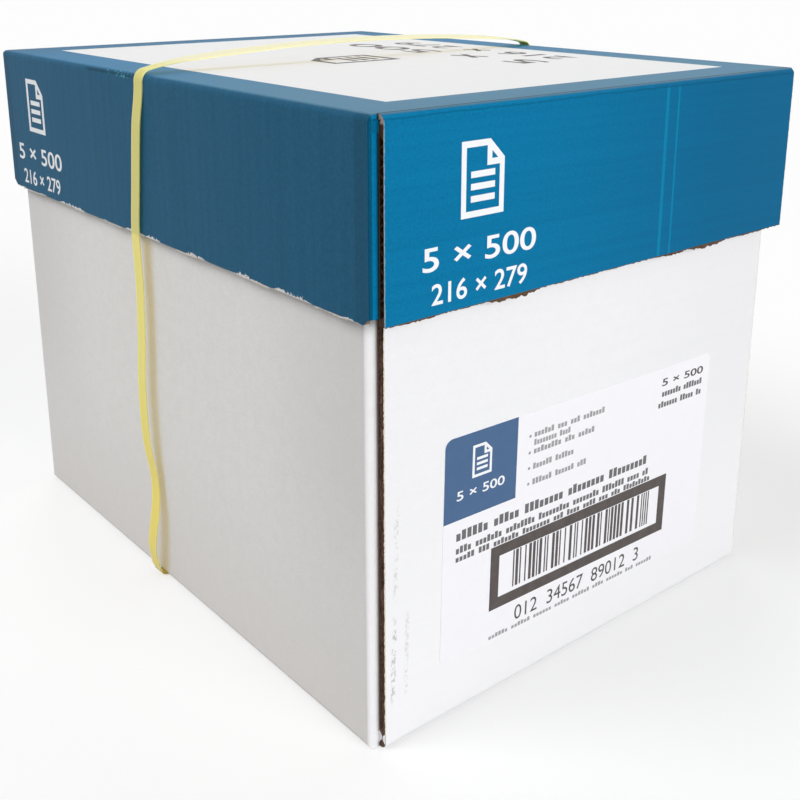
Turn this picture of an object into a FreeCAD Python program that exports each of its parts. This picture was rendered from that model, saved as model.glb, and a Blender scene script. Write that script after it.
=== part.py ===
import FreeCAD, Part
import math
import os

# Carton of copy paper, in millimetres. Z is up and the origin is under the middle of the base.
# The long sides face -X and +X, the short ends face -Y and +Y, and the label is on the -Y end.
# Tray and lid are each folded from one sheet of corrugated board: the tabs of the long sides turn
# the corners and are glued behind the end panels, whose cut edges show the flutes.

# Sheets, and the packs that they are wrapped in
sheet_width = 215.9
sheet_length = 279.4
pack_thickness = 45.6
pack_count = 5
wrapper = 0.15
wrapper_edge_radius = 0.8
flap_slant = 16.0
flap_overlap = 7.0

# Room round the packs
pack_clearance = 1.5
headspace = 2.5

# Tray board
tray_board = 3.6
tray_liner = 0.45
tray_flute_pitch = 7.8
tray_fold_radius = 3.0
tray_corner_radius = 1.6
tray_crease_web = 1.4
tray_edge_setback = 4.8
tray_tab_length = 80.0

# Lid board
lid_board = 2.8
lid_liner = 0.4
lid_flute_pitch = 6.2
lid_fold_radius = 2.6
lid_corner_radius = 1.0
lid_crease_web = 1.1
lid_edge_setback = 3.6
lid_tab_length = 64.0
lid_depth = 69.0
lid_clearance = 0.5

# What both boards share
flute_wall = 0.45
flute_mouth_depth = 3.0
flute_end_margin = 2.0
crease_spread = 1.5
tab_gap = 1.0
tab_relief = 2.6
relief_run = 3.0

# Strap
strap_width = 7.0
strap_thickness = 0.6
strap_foot_bulge = 5.2
strap_foot_radius = 6.9
strap_rim_radius = 60.0
strap_edge_radius = 4.2
strap_edge_turn = 78.0
strap_shoulder_radius = 160.0
strap_shoulder_turn = 7.5
strap_groove_clearance = 0.2
weld_length = 28.0
weld_thickness = 0.5
weld_x = -38.0

# Where the middle of the strap lies along Y, from its left foot over the lid to its right foot
strap_y_left_foot = 15.5
strap_y_left_rim = 11.6
strap_y_left_shoulder = 1.0
strap_y_right_shoulder = 9.5
strap_y_right_rim = 12.0
strap_y_right_foot = 14.0

# Label
label_width = 157.5
label_height = 93.0
label_thickness = 0.15
label_corner_radius = 3.5
label_x = -2.7
label_z = 68.8
label_tilt = 1.0

# Sizes that follow
pack_width = sheet_width + 2 * wrapper
pack_body_length = sheet_length + 2 * wrapper
pack_length = pack_body_length + 4 * wrapper
tray_width = pack_width + 2 * (pack_clearance + tray_board)
tray_length = pack_length + 2 * (pack_clearance + 2 * tray_board)
tray_height = tray_board + pack_count * pack_thickness + headspace
lid_width = tray_width + 2 * (lid_clearance + lid_board)
lid_length = tray_length + 2 * (lid_clearance + 2 * lid_board)
carton_height = tray_height + lid_board
lid_rim = carton_height - lid_depth
strap_foot_x = tray_width / 2 + strap_foot_bulge - strap_foot_radius

V = FreeCAD.Vector
ORIGIN = V(0, 0, 0)
ALONG_X = V(1, 0, 0)
ALONG_Y = V(0, 1, 0)
ALONG_Z = V(0, 0, 1)


# Shapes that several pieces use


def box(x0, x1, y0, y1, z0, z1):
    return Part.makeBox(x1 - x0, y1 - y0, z1 - z0, V(x0, y0, z0))


def prism(points, direction):
    return Part.Face(Part.makePolygon(points + points[:1])).extrude(direction)


def lines(points):
    return [Part.LineSegment(a, b).toShape() for a, b in zip(points, points[1:])]


def joined(edges):
    return Part.Wire(Part.sortEdges(edges)[0])


def with_mirror(shape, normal):
    return [shape, shape.mirror(ORIGIN, normal)]


# Folded board


def crease_depth(radius, web):
    # How far from both faces the crushed board reaches inside a rounded fold.
    return radius * (1 - math.sqrt(0.5)) + web * math.sqrt(0.5)


def folded_half(half, height, board, radius, web, place):
    # Half of a U-shaped section: floor, rounded fold, wall, and back along the inside, where the
    # crease is crushed. place turns a distance from the middle and a height into a point.
    dent = crease_depth(radius, web)
    bow = radius * math.sqrt(0.5)
    inner = half - board
    corner = half - radius
    fold = Part.Arc(place(corner, 0), place(corner + bow, radius - bow), place(half, radius))
    inside = [
        place(half, radius),
        place(half, height),
        place(inner, height),
        place(inner, board + crease_spread),
        place(half - dent, dent),
        place(inner - crease_spread, board),
        place(0, board),
    ]
    return lines([place(0, 0), place(corner, 0)]) + [fold.toShape()] + lines(inside)


def folded_section(half, height, board, radius, web, place):
    # The whole U: one half, and the other beyond the middle.
    def opposite(distance, level):
        return place(-distance, level)

    edges = []
    for side in (place, opposite):
        edges += folded_half(half, height, board, radius, web, side)
    return joined(edges)


def flute_mouths(start, end, pitch, board, liner, place):
    # Mouths of the flutes in a cut edge: trapezoids that stand on one liner and the other by turns.
    # place turns a distance along the edge and a depth through the board into a point.
    step = pitch / 2
    count = int((end - start) / step)
    first = (start + end - (count - 1) * step) / 2
    narrow = (step / 2 - flute_wall) / 2
    wide = step - flute_wall - narrow
    mouths = []
    for index in range(count):
        middle = first + index * step
        foot, head = (liner, board - liner) if index % 2 else (board - liner, liner)
        corners = [
            place(middle - wide, foot),
            place(middle + wide, foot),
            place(middle + narrow, head),
            place(middle - narrow, head),
        ]
        mouths.append(Part.makePolygon(corners + corners[:1]))
    return mouths


def mouthed(outline, mouths, direction):
    # The last stretch of a board before its cut edge, with the flutes open in it.
    return Part.makeFace([outline] + mouths, "Part::FaceMakerBullseye").extrude(direction)


def floor_and_side_folds(width, length, board, radius, corner_radius, web):
    # Floor with the folds along its long sides, up to where the tabs begin, with the corners round.
    height = board + crease_spread + tab_gap
    reach = length / 2 - board
    outline = folded_section(width / 2, height, board, radius, web, lambda x, z: V(x, -reach, z))
    floor = Part.Face(outline).extrude(ALONG_Y * (2 * reach))
    block = box(-width / 2, width / 2, -reach, reach, 0, height)
    upright = [edge for edge in block.Edges if edge.BoundBox.ZLength > height / 2]
    return floor.common(block.makeFillet(corner_radius, upright))


def side_plan(width, length, board, radius, web, tab_length):
    # Plan of one long side: the wall, its two rounded corners and the tabs that turn in.
    dent = crease_depth(radius, web)
    bow = radius * math.sqrt(0.5)
    x, y = width / 2, length / 2 - board
    inner_x, inner_y = x - board, y - board
    inside = [
        (x - radius, y),
        (x - tab_length, y),
        (x - tab_length, inner_y),
        (inner_x - crease_spread, inner_y),
        (x - dent, y - dent),
        (inner_x, inner_y - crease_spread),
        (inner_x, 0),
    ]
    edges = []
    for end in (-1, 1):
        turn = [(x, y - radius), (x - radius + bow, y - radius + bow), (x - radius, y)]
        corner = Part.Arc(*[V(px, end * py, 0) for px, py in turn])
        edges += lines([V(x, 0, 0), V(x, end * (y - radius), 0)]) + [corner.toShape()]
        edges += lines([V(px, end * py, 0) for px, py in inside])
    return joined(edges)


def relief_notch(width, length, height, board, radius):
    # Lifts the rim of a corner and its tab a little above the rim of the side panel.
    outer = length / 2 - board
    start = outer - radius - relief_run
    low = height - tab_relief
    profile = [V(0, start, height), V(0, start + tab_relief, low), V(0, outer, low), V(0, outer, height)]
    return prism(profile, ALONG_X * width)


def side_wall(width, length, height, board, liner, pitch, radius, web, tab_length):
    # One long side above the folds of the floor, with the flutes open along its rim.
    plan = side_plan(width, length, board, radius, web, tab_length)
    base = board + crease_spread + tab_gap
    reach = length / 2 - board - radius - relief_run - flute_end_margin
    mouths = flute_mouths(-reach, reach, pitch, board, liner, lambda y, d: V(width / 2 - d, y, 0))
    wall = Part.Face(plan).extrude(ALONG_Z * (height - flute_mouth_depth - base))
    wall.translate(ALONG_Z * base)
    rim = mouthed(plan, mouths, ALONG_Z * flute_mouth_depth)
    rim.translate(ALONG_Z * (height - flute_mouth_depth))
    notches = with_mirror(relief_notch(width, length, height, board, radius), ALONG_Y)
    return wall.fuse(rim).cut(Part.makeCompound(notches))


def end_wrap(width, length, height, board, liner, pitch, radius, web, setback):
    # Floor and both end panels as one bent strip, with the flutes open in its two cut sides.
    half = width / 2 - setback
    outline = folded_section(length / 2, height, board, radius, web, lambda y, z: V(0, y, z))
    low = board + crease_spread + flute_end_margin
    high = height - flute_end_margin
    mouths = []
    for end in (-1, 1):
        mouths += flute_mouths(low, high, pitch, board, liner, lambda z, d: V(0, end * (length / 2 - d), z))
    core = Part.Face(outline).extrude(ALONG_X * (2 * (half - flute_mouth_depth)))
    core.translate(ALONG_X * (flute_mouth_depth - half))
    cut_side = mouthed(outline, mouths, ALONG_X * flute_mouth_depth)
    cut_side.translate(ALONG_X * (half - flute_mouth_depth))
    return [core] + with_mirror(cut_side, ALONG_X)


def folded_box(width, length, height, board, liner, pitch, radius, corner_radius, web, setback, tab_length):
    # A box folded from one sheet, standing on its floor and open at the top.
    floor = floor_and_side_folds(width, length, board, radius, corner_radius, web)
    side = side_wall(width, length, height, board, liner, pitch, corner_radius, web, tab_length)
    ends = end_wrap(width, length, height, board, liner, pitch, radius, web, setback)
    return floor.multiFuse(with_mirror(side, ALONG_X) + ends).removeSplitter()


# Strap


def outward(heading):
    # Unit vector to the outside of the strap's loop, a quarter turn from the way it runs.
    return V(-math.sin(heading), 0, math.cos(heading))


def strap_course():
    # The inner face of the strap's left half, from the middle of the base over the lid to the
    # middle of the top: lengths of straight runs, and radius and turn in degrees of each bend.
    foot = V(-strap_foot_x, 0, strap_thickness + strap_foot_radius)
    rim = V(-lid_width / 2 - strap_rim_radius, 0, lid_rim)
    across = rim - foot
    radii = strap_foot_radius + strap_rim_radius
    lean = math.pi / 2 - math.atan2(across.z, across.x) + math.asin(radii / across.Length)
    straight = math.sqrt(across.Length ** 2 - radii ** 2)
    crown_turn = 90 - strap_edge_turn - strap_shoulder_turn
    edge = math.radians(strap_edge_turn)
    slope = math.radians(crown_turn)
    reached = strap_edge_radius * (1 - math.cos(edge))
    reached += strap_shoulder_radius * (math.cos(edge) - math.sin(slope))
    crown_radius = (lid_width / 2 - reached) / math.sin(slope)
    return [
        (strap_foot_x,),
        (strap_foot_radius, 90 + math.degrees(lean)),
        (straight,),
        (-strap_rim_radius, -math.degrees(lean)),
        (lid_depth - lid_fold_radius,),
        (strap_edge_radius, strap_edge_turn),
        (strap_shoulder_radius, strap_shoulder_turn),
        (crown_radius, crown_turn),
    ]


def strap_loop(offset):
    # Closed outline in the XZ plane, as far outside the inner face as the offset says.
    heading = math.pi
    point = V(0, 0, strap_thickness) + outward(heading) * offset
    edges = []
    for step in strap_course():
        if len(step) == 1:
            after = point + V(math.cos(heading), 0, math.sin(heading)) * step[0]
            edges.append(Part.LineSegment(point, after).toShape())
        else:
            radius, turn = step[0] + offset, math.radians(step[1])
            centre = point - outward(heading) * radius
            middle = centre + outward(heading - turn / 2) * radius
            after = centre + outward(heading - turn) * radius
            edges.append(Part.Arc(point, middle, after).toShape())
            heading -= turn
        point = after
    mirrored = [edge.mirror(ORIGIN, ALONG_X) for edge in edges]
    return joined(edges + mirrored)


def strip(middles, width, place, direction):
    # A slab whose plan follows middles, pairs of a distance and the strap's middle along Y there.
    near = [place(distance, y - width / 2) for distance, y in middles]
    far = [place(distance, y + width / 2) for distance, y in reversed(middles)]
    return prism(near + far, direction)


def strap_side(x0, foot_y, rim_y, shoulder_y, width, reach):
    # Where the strap may be on one long side of the carton, from x0 outwards.
    course = [
        (-strap_thickness, foot_y),
        (strap_thickness + strap_foot_radius, foot_y),
        (lid_rim, rim_y),
        (carton_height - lid_fold_radius, shoulder_y),
        (carton_height + reach, shoulder_y),
    ]
    return strip(course, width, lambda z, y: V(x0, y, z), ALONG_X * math.copysign(reach, x0))


def strap_across(z0, left_y, right_y, width, depth):
    # Where the strap may be under the base or over the top.
    course = [(-strap_foot_x, left_y), (strap_foot_x, right_y)]
    return strip(course, width, lambda x, y: V(x, y, z0), ALONG_Z * depth)


def strap_band(width):
    reach = lid_width
    outer = Part.Face(strap_loop(strap_thickness))
    ring = outer.cut(Part.Face(strap_loop(0))).extrude(ALONG_Y * (2 * reach))
    ring.translate(ALONG_Y * -reach)
    y = (strap_y_left_foot, strap_y_left_rim, strap_y_left_shoulder)
    left = strap_side(-strap_foot_x, *y, width, reach)
    y = (strap_y_right_foot, strap_y_right_rim, strap_y_right_shoulder)
    right = strap_side(strap_foot_x, *y, width, reach)
    half_height = carton_height / 2
    under = strap_across(-strap_thickness, strap_y_left_foot, strap_y_right_foot, width, half_height)
    over = strap_across(half_height, strap_y_left_shoulder, strap_y_right_shoulder, width, reach)
    runs = [ring.common(zone) for zone in (left, right, under, over)]
    return runs[0].multiFuse(runs[1:]).removeSplitter()


def weld_patch(width, length):
    # Second layer of the strap where its ends overlap and are welded, on the inside under the base.
    zone = strap_across(strap_thickness, strap_y_left_foot, strap_y_right_foot, width, weld_thickness)
    reach = lid_length
    low, high = strap_thickness, strap_thickness + weld_thickness
    return zone.common(box(weld_x - length / 2, weld_x + length / 2, -reach, reach, low, high))


# The pieces


def make_tray():
    tray = folded_box(
        tray_width,
        tray_length,
        tray_height,
        tray_board,
        tray_liner,
        tray_flute_pitch,
        tray_fold_radius,
        tray_corner_radius,
        tray_crease_web,
        tray_edge_setback,
        tray_tab_length,
    )
    room = 2 * strap_groove_clearance
    groove = strap_band(strap_width + room)
    weld = weld_patch(strap_width + room, weld_length + room)
    return tray.cut(groove).cut(weld)


def make_lid():
    lid = folded_box(
        lid_width,
        lid_length,
        lid_depth,
        lid_board,
        lid_liner,
        lid_flute_pitch,
        lid_fold_radius,
        lid_corner_radius,
        lid_crease_web,
        lid_edge_setback,
        lid_tab_length,
    )
    lid.rotate(ORIGIN, ALONG_X, 180)
    lid.translate(ALONG_Z * carton_height)
    return lid


def make_strap():
    return strap_band(strap_width).fuse(weld_patch(strap_width, weld_length)).removeSplitter()


def make_label():
    half_width, half_height = label_width / 2, label_height / 2
    face_y = -tray_length / 2
    sheet = box(-half_width, half_width, face_y - label_thickness, face_y, -half_height, half_height)
    corners = [edge for edge in sheet.Edges if edge.BoundBox.YLength > label_thickness / 2]
    sheet = sheet.makeFillet(label_corner_radius, corners)
    sheet.rotate(ORIGIN, ALONG_Y, label_tilt)
    sheet.translate(V(label_x, 0, label_z))
    return sheet


def end_flap(direction, layer):
    # One of the two flaps that close an end of the wrapper, folded down or up over the other.
    half = pack_width / 2 - wrapper_edge_radius
    tip = half - flap_slant
    far = direction * (pack_thickness / 2 - wrapper_edge_radius)
    near = -direction * flap_overlap / 2
    y = pack_body_length / 2
    points = [V(-half, y, far), V(half, y, far), V(tip, y, near), V(-tip, y, near)]
    return prism(points, ALONG_Y * (layer * wrapper))


def make_pack(index):
    half_width, half_length = pack_width / 2, pack_body_length / 2
    half_thickness = pack_thickness / 2
    body = box(-half_width, half_width, -half_length, half_length, -half_thickness, half_thickness)
    lengthwise = [edge for edge in body.Edges if edge.BoundBox.YLength > half_length]
    body = body.makeFillet(wrapper_edge_radius, lengthwise)
    flaps = with_mirror(end_flap(-1, 1), ALONG_Y) + with_mirror(end_flap(1, 2), ALONG_Y)
    pack = body.multiFuse(flaps).removeSplitter()
    pack.translate(ALONG_Z * (tray_board + (index - 0.5) * pack_thickness))
    return pack


def main():
    os.makedirs("parts", exist_ok=True)
    pieces = {"tray": make_tray(), "lid": make_lid(), "strap": make_strap(), "label": make_label()}
    for index in range(1, pack_count + 1):
        pieces[f"ream_{index}"] = make_pack(index)
    for name, shape in pieces.items():
        solid = shape.Solids[0] if len(shape.Solids) == 1 else shape
        solid.exportStep(f"parts/{name}.step")
        room = solid.BoundBox
        print(name, len(shape.Solids), "solid", round(solid.Volume / 1000, 1), "cm3", solid.isValid())
        print("  x %.2f to %.2f, y %.2f to %.2f" % (room.XMin, room.XMax, room.YMin, room.YMax))
        print("  z %.2f to %.2f" % (room.ZMin, room.ZMax))


main()
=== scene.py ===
# %% [markdown]
# # A strapped carton of copy paper
# The carton is a tray and a telescoping lid of corrugated board, a plastic strap, a paper label and five
# wrapped packs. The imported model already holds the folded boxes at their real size, so this lesson adds
# what a camera sees: board that shows its flutes, ink, print, a translucent strap and torn edges.

# %% Load the frame
import math
import random

import bpy
import numpy as np
from mathutils import Matrix, Vector


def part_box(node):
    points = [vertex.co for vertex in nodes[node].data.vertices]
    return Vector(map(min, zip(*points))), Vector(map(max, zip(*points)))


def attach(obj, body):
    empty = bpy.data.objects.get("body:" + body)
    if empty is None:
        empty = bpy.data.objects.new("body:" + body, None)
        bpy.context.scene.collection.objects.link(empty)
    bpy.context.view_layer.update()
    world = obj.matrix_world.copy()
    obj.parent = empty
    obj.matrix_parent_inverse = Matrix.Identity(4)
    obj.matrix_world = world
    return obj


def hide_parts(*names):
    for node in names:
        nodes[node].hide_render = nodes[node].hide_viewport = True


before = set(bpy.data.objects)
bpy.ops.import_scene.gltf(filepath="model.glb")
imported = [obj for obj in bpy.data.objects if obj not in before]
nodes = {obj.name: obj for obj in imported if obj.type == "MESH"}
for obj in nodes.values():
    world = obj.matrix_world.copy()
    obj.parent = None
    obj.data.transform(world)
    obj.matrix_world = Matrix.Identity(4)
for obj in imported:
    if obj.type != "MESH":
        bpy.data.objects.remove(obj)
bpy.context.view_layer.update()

MM = 0.001
CORNERS = ((-1, -1), (1, -1), (1, 1), (-1, 1))  # sides of X and Y, round the carton
tray_low, tray_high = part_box("tray")
lid_low, lid_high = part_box("lid")
label_low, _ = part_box("label")
print("pieces in the frame:", sorted(nodes))
print("lid from z = %.1f to %.1f mm" % (lid_low.z / MM, lid_high.z / MM))

# %% [markdown]
# ## Small helpers for materials
# A material is a tree of nodes. Written out in full, each node takes four lines, so these helpers add a
# node, set its sockets and return the output that the next node needs.

# %% Node helpers
FLOAT, VECTOR = "NodeSocketFloat", "NodeSocketVector"


def connect(tree, made, inputs):
    for key, value in inputs.items():
        if isinstance(value, bpy.types.NodeSocket):
            tree.links.new(value, made.inputs[key])
        else:
            made.inputs[key].default_value = value
    return made


def node(tree, kind, inputs, **settings):
    made = tree.nodes.new(kind)
    for key, value in settings.items():
        setattr(made, key, value)
    return connect(tree, made, inputs)


def calc(tree, operation, *values):
    return node(tree, "ShaderNodeMath", dict(enumerate(values)), operation=operation).outputs[0]


def plus(tree, a, b):
    return calc(tree, "ADD", a, b)


def minus(tree, a, b):
    return calc(tree, "SUBTRACT", a, b)


def scaled(tree, value, factor, offset):
    return calc(tree, "MULTIPLY_ADD", value, factor, offset)


def absolute(tree, value):
    return calc(tree, "ABSOLUTE", value)


def below(tree, value, limit):
    return calc(tree, "LESS_THAN", value, limit)


def above(tree, value, limit):
    return calc(tree, "GREATER_THAN", value, limit)


def times(tree, first, *others):
    for value in others:
        first = calc(tree, "MULTIPLY", first, value)
    return first


def either(tree, first, *others):
    for value in others:
        first = calc(tree, "MAXIMUM", first, value)
    return first


def rise(tree, value, start, end):
    # 0 before start, 1 after end, and a smooth step between; start may be the larger.
    sockets = {"Value": value, "From Min": start, "From Max": end}
    return node(tree, "ShaderNodeMapRange", sockets, interpolation_type="SMOOTHSTEP").outputs["Result"]


def window(tree, value, low, high, soft):
    return times(tree, rise(tree, value, low - soft, low), rise(tree, value, high + soft, high))


def opaque(colour):
    # Three numbers get the alpha that a colour socket wants; an output of a node passes as it is.
    return colour if isinstance(colour, bpy.types.NodeSocket) else (*colour, 1.0)


def blend_colour(tree, factor, a, b):
    sockets = {0: factor, 6: opaque(a), 7: opaque(b)}
    return node(tree, "ShaderNodeMix", sockets, data_type="RGBA").outputs[2]


def stained(tree, base, mask, strength, colour):
    return blend_colour(tree, times(tree, mask, strength), base, colour)


def noise(tree, vector, scale, detail=2.0, roughness=0.5):
    sockets = {"Vector": vector, "Scale": scale, "Detail": detail, "Roughness": roughness}
    return node(tree, "ShaderNodeTexNoise", sockets).outputs["Fac"]


def stretched(tree, vector, scale):
    return node(tree, "ShaderNodeMapping", {"Vector": vector, "Scale": scale}).outputs["Vector"]


def object_position(tree):
    return node(tree, "ShaderNodeTexCoord", {}).outputs["Object"]


def split(tree, vector):
    return node(tree, "ShaderNodeSeparateXYZ", {"Vector": vector}).outputs


# %% Materials and groups


def new_material(name, roughness, specular):
    material = bpy.data.materials.new(name)
    material.use_nodes = True
    surface = material.node_tree.nodes["Principled BSDF"]
    surface.inputs["Roughness"].default_value = roughness
    surface.inputs["Specular IOR Level"].default_value = specular
    return material, material.node_tree, surface


def give_bump(tree, surface, height, strength):
    bump = node(tree, "ShaderNodeBump", {"Height": height, "Strength": strength, "Distance": 1.0})
    tree.links.new(bump.outputs["Normal"], surface.inputs["Normal"])


def new_group(name, inputs, outputs):
    tree = bpy.data.node_groups.new(name, "ShaderNodeTree")
    for socket, kind in inputs.items():
        tree.interface.new_socket(socket, in_out="INPUT", socket_type=kind)
    for socket in outputs:
        tree.interface.new_socket(socket, in_out="OUTPUT", socket_type=FLOAT)
    return tree, tree.nodes.new("NodeGroupInput").outputs, tree.nodes.new("NodeGroupOutput").inputs


def placed(tree, group, inputs):
    made = node(tree, "ShaderNodeGroup", {}, node_tree=group)
    return connect(tree, made, inputs).outputs


# %% [markdown]
# ## What every sheet of board shares
# Corrugated board is two liners on a wavy core. Three effects come from that: a cut edge shows brown core
# between pale liners, the flutes print through the liner as faint ribs, and the liner has a fibrous
# tooth. Each is a node group, so the tray and the lid use the same effect with their own sizes. All masks
# are distances from the box's own faces.

# %% Group: where a cut edge shows raw board
CORE = (0.5 * MM, 2.4 * MM)  # the brown core between the liners, as a depth below the outer skin
CUT_REACH = 3.2 * MM  # how far in from the cut the board's side can be seen
MOUTH_DEPTH, MOUTH_WALL = 3.1 * MM, (0.3 * MM, 2.4 * MM)  # the open flutes along the side walls' rim


def end_strip_depth(tree, given, from_end):
    # Depth below the outer skin of the strip that runs over the floor and both ends, round its folds.
    short_y = calc(tree, "MAXIMUM", minus(tree, given["Radius"], from_end), 0.0)
    short_z = calc(tree, "MAXIMUM", minus(tree, given["Radius"], given["Rise"]), 0.0)
    squares = plus(tree, calc(tree, "POWER", short_y, 2.0), calc(tree, "POWER", short_z, 2.0))
    in_fold = minus(tree, given["Radius"], calc(tree, "SQRT", squares))
    return calc(tree, "MINIMUM", calc(tree, "MINIMUM", from_end, given["Rise"]), in_fold)


def raw_board(tree, given, from_end, from_side, depth):
    # Everywhere that the cut or the inside shows: cut sides, rim, the mouth of the flutes there, and
    # inner faces.
    in_end = below(tree, from_end, minus(tree, given["Board"], 0.06 * MM))
    near_cut = below(tree, minus(tree, from_side, given["Setback"]), CUT_REACH)
    cut_side = times(tree, near_cut, in_end, above(tree, depth, 0.1 * MM))
    rim = above(tree, given["Rise"], minus(tree, given["Depth"], 0.03 * MM))
    in_mouth = above(tree, given["Rise"], minus(tree, given["Depth"], MOUTH_DEPTH))
    in_wall = window(tree, from_side, *MOUTH_WALL, 0.05 * MM)
    mouth = times(tree, in_mouth, in_wall, above(tree, from_end, 5 * MM))
    skin = minus(tree, given["Board"], 0.05 * MM)
    inside_y = above(tree, from_end, scaled(tree, given["Board"], 2.0, -0.05 * MM))
    inside = times(tree, above(tree, from_side, skin), inside_y, above(tree, given["Rise"], skin))
    return either(tree, cut_side, rim, mouth, inside)


def torn_lip(tree, given, from_end, from_side):
    fray = scaled(tree, noise(tree, given["Position"], 1100.0, 3.0, 0.6), 0.9 * MM, -0.28 * MM)
    past_cut = minus(tree, from_side, given["Setback"])
    return times(tree, below(tree, past_cut, fray), below(tree, from_end, 0.1 * MM))


def gap_shade(tree, given, from_end, from_side):
    # Painted shade: the tab is darkened where it dips behind the end panel.
    start = minus(tree, given["Setback"], given["Gap"])
    sockets = {"Value": from_side, "From Min": start, "From Max": given["Setback"]}
    nearing = node(tree, "ShaderNodeMapRange", sockets).outputs["Result"]
    behind = window(tree, minus(tree, from_end, given["Board"]), -0.05 * MM, 1.0 * MM, 0.05 * MM)
    return times(tree, nearing, behind)


def cut_edge_group():
    sizes = ["Rise", "Half Width", "Half Length", "Board", "Setback", "Radius", "Depth", "Gap"]
    inputs = dict({"Position": VECTOR}, **{name: FLOAT for name in sizes})
    tree, given, result = new_group("cut_edge", inputs, ["Raw", "Core", "Lip", "Shade"])
    x, y, _ = split(tree, given["Position"])
    from_end = minus(tree, given["Half Length"], absolute(tree, y))
    from_side = minus(tree, given["Half Width"], absolute(tree, x))
    depth = end_strip_depth(tree, given, from_end)
    tree.links.new(raw_board(tree, given, from_end, from_side, depth), result["Raw"])
    tree.links.new(window(tree, depth, *CORE, 0.15 * MM), result["Core"])
    tree.links.new(torn_lip(tree, given, from_end, from_side), result["Lip"])
    tree.links.new(gap_shade(tree, given, from_end, from_side), result["Shade"])
    return tree


CUT_EDGE = cut_edge_group()
print("group", CUT_EDGE.name, "has", len(CUT_EDGE.nodes), "nodes")

# %% Group: ribs that the flutes print through the liner


def flute_ribs_group():
    inputs = {"Position": VECTOR, "Along": FLOAT, "Pitch": FLOAT}
    tree, given, result = new_group("flute_ribs", inputs, ["Ribs", "Streaks"])
    turn = calc(tree, "DIVIDE", times(tree, given["Along"], 2 * math.pi), given["Pitch"])
    wave = scaled(tree, calc(tree, "COSINE", turn), 0.5, 0.5)
    patches = noise(tree, given["Position"], 25.0, 3.0)
    row = calc(tree, "DIVIDE", given["Along"], given["Pitch"])
    spread = node(tree, "ShaderNodeCombineXYZ", {"X": times(tree, row, 2.3), "Y": 0.3}).outputs[0]
    drift_sockets = {0: given["Position"], 1: (7.0, 7.0, 7.0)}
    drift = node(tree, "ShaderNodeVectorMath", drift_sockets, operation="MULTIPLY").outputs[0]
    place = node(tree, "ShaderNodeVectorMath", {0: spread, 1: drift}, operation="ADD").outputs[0]
    tree.links.new(times(tree, wave, patches), result["Ribs"])
    tree.links.new(noise(tree, place, 1.0, 5.0, 0.65), result["Streaks"])
    return tree


FLUTE_RIBS = flute_ribs_group()
print("group", FLUTE_RIBS.name, "has", len(FLUTE_RIBS.nodes), "nodes")

# %% Group: the liner's fibres, mottling and stray specks


def paper_fibre_group():
    tree, given, result = new_group("paper_fibre", {"Position": VECTOR}, ["Fibre", "Mottle", "Specks"])
    tree.links.new(noise(tree, given["Position"], 1000.0, 4.0, 0.65), result["Fibre"])
    tree.links.new(noise(tree, given["Position"], 210.0, 6.0, 0.7), result["Mottle"])
    fine = rise(tree, noise(tree, given["Position"], 330.0, 4.0, 0.75), 0.66, 0.74)
    clumps = rise(tree, noise(tree, given["Position"], 22.0, 2.0, 0.5), 0.50, 0.66)
    tree.links.new(times(tree, fine, clumps), result["Specks"])
    return tree


PAPER_FIBRE = paper_fibre_group()
print("group", PAPER_FIBRE.name, "has", len(PAPER_FIBRE.nodes), "nodes")

# %% [markdown]
# ## Lid: printed board
# The lid is flooded with blue ink but for a white field on top. Ink on board is slightly uneven along the
# flutes, cracks and pales at the folds, and shines only where it is seen at a flat angle, so a thin coat
# is laid on the top alone. The shade in the creases, along the tab's folds, in the dent and in the gap
# behind the end panels is painted into the colour, and so are some highlights at the folds and a sheen
# on the top's near border.

# %% Colours and sizes of the lid
LID_BOARD, LID_SETBACK, LID_RADIUS = 2.8 * MM, 3.6 * MM, 2.6 * MM
LID_FLUTES = 6.2 * MM
FIELD_X, FIELD_Y = 93.5 * MM, 131.7 * MM
TAB_REACH = 10.2 * MM  # the glued tab makes the wall darker this far from the corner
DENT, FLAKES = (8 * MM, 50 * MM), (10 * MM, 30 * MM)  # stretches along Y, beside the strap
RUBBED_LINES = ((26.2 * MM, 27.2 * MM, 0.8 * MM), (33.3 * MM, 33.9 * MM, 0.5 * MM))
INKS = {
    "end": ((0.000, 0.146, 0.306), (0.002, 0.192, 0.395)),
    "end_far": ((0.000, 0.102, 0.228), (0.000, 0.127, 0.270)),
    "side": ((0.012, 0.087, 0.163), (0.021, 0.119, 0.223)),
    "top": ((0.001, 0.125, 0.262), (0.006, 0.165, 0.335)),
    # Painted sheen: the top's border is paler and greyer towards the near end.
    "top_near_sheen": ((0.040, 0.150, 0.238), (0.050, 0.190, 0.305)),
}
# Colours of marks on the ink. The dark lines in the creases, along the tab's fold and round the dent, and
# the dark gap, are painted shade; the pale chips and flakes are partly painted highlights.
MARKS = {
    "glued_tab": (0.0, 0.02, 0.04), "far_border": (0.0, 0.045, 0.085), "rubbed": (0.0, 0.34, 0.56),
    "crease": (0.0, 0.045, 0.075), "tab_fold_shade": (0.0, 0.035, 0.065), "chips_and_highlights": (0.10, 0.36, 0.50),
    "dent": (0.0, 0.032, 0.052), "flakes_and_highlights": (0.12, 0.50, 0.60), "specks": (0.42, 0.41, 0.40),
    "lip": (0.36, 0.47, 0.50), "gap": (0.004, 0.003, 0.003), "bites": (0.74, 0.73, 0.71),
    "torn_top": (0.46, 0.34, 0.29),
}
print("inks of the lid:", sorted(INKS))


def ink_colour(tree, streaks, name):
    return blend_colour(tree, streaks, *INKS[name])


def grainy(tree, factor, fibre, strength):
    # Adds the fibres' fine grain to a factor that mixes two shades.
    return plus(tree, factor, scaled(tree, fibre, strength, -0.5 * strength))


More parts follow.
